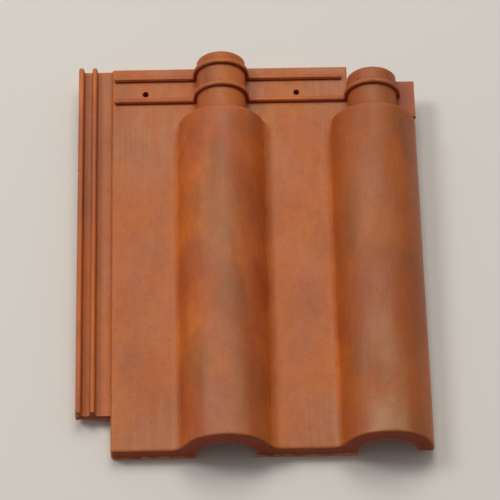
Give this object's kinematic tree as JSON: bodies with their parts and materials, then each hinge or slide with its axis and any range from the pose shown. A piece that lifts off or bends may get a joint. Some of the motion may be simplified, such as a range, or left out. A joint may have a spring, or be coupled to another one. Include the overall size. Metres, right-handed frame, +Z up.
{
  "type": "clay roof tile",
  "caption": "Interlocking pressed clay roof tile with flat pans, round rolls, a side lock, a lowered head lap, nibs and nail holes.",
  "frame": {"origin": "middle of the tile's bounding box, on the level ground that it lies on", "axes": "+X across the slope to the cover roll, +Y up the slope from the nose to the head, +Z up"},
  "size_m": [0.3314, 0.4208, 0.0611],
  "materials": {
    "fired_clay": "satin fired terracotta with smoky brown flashing"
  },
  "bodies": {
    "root": {"roof_tile": "fired_clay"}
  },
  "joints": []
}
